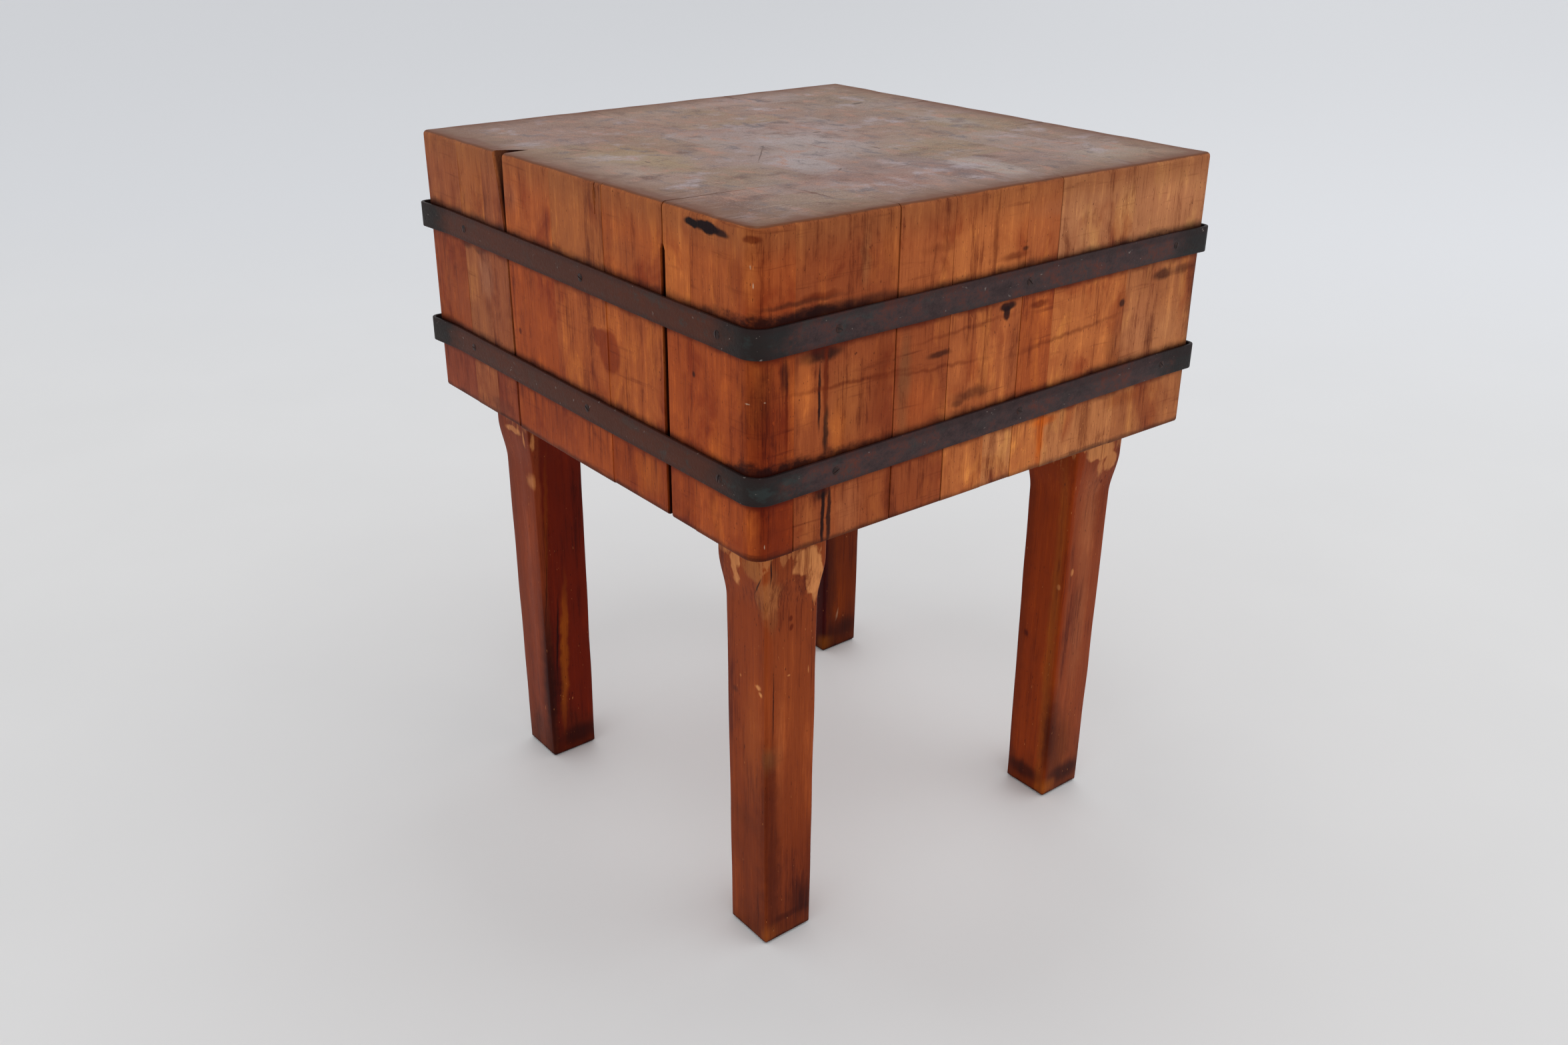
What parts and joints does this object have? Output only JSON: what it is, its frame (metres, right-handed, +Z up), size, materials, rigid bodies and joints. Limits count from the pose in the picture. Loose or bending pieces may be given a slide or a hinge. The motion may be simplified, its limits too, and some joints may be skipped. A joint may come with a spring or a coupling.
{
  "type": "butcher block table",
  "caption": "Thick end-grain butcher block of glued upright staves, held by two screwed iron bands, on square legs with flared shoulders.",
  "frame": {"origin": "middle of the object on the floor, under the centre of the block", "axes": "+Z up, the block's front face towards -Y and its left side towards -X"},
  "size_m": [0.668, 0.678, 0.875],
  "materials": {
    "block_wood": "old oiled beech, orange-brown, worn and stained",
    "leg_wood": "red-brown stained and waxed, rubbed pale in places, blackened at the feet",
    "band_iron": "dark wrought flat bar with rust-red and green-grey patina",
    "screw_steel": "dark rusted slotted screws"
  },
  "bodies": {
    "root": {"leg_front_left": "leg_wood", "leg_front_right": "leg_wood", "leg_back_left": "leg_wood", "leg_back_right": "leg_wood", "stave_a1": "block_wood", "stave_a2": "block_wood", "stave_a3": "block_wood", "stave_a4": "block_wood", "stave_a5": "block_wood", "stave_a6": "block_wood", "stave_a7": "block_wood", "stave_a8": "block_wood", "stave_b1": "block_wood", "stave_b2": "block_wood", "stave_b3": "block_wood", "stave_b4": "block_wood", "stave_b5": "block_wood", "stave_b6": "block_wood", "stave_c1": "block_wood", "stave_c2": "block_wood", "stave_c3": "block_wood", "stave_c4": "block_wood", "stave_c5": "block_wood", "stave_c6": "block_wood", "stave_c7": "block_wood", "stave_d1": "block_wood", "stave_d2": "block_wood", "stave_d3": "block_wood", "stave_d4": "block_wood", "stave_d5": "block_wood", "stave_e1": "block_wood", "stave_e2": "block_wood", "stave_e3": "block_wood", "stave_e4": "block_wood", "stave_e5": "block_wood", "stave_e6": "block_wood", "stave_f1": "block_wood", "stave_f2": "block_wood", "stave_f3": "block_wood", "stave_f4": "block_wood", "stave_f5": "block_wood", "stave_g1": "block_wood", "stave_g2": "block_wood", "stave_g3": "block_wood", "stave_g4": "block_wood", "stave_g5": "block_wood", "stave_h1": "block_wood", "stave_h2": "block_wood", "stave_h3": "block_wood", "stave_h4": "block_wood", "stave_h5": "block_wood", "stave_h6": "block_wood", "upper_band": "band_iron", "lower_band": "band_iron", "upper_band_screws": "screw_steel", "lower_band_screws": "screw_steel"}
  },
  "joints": []
}
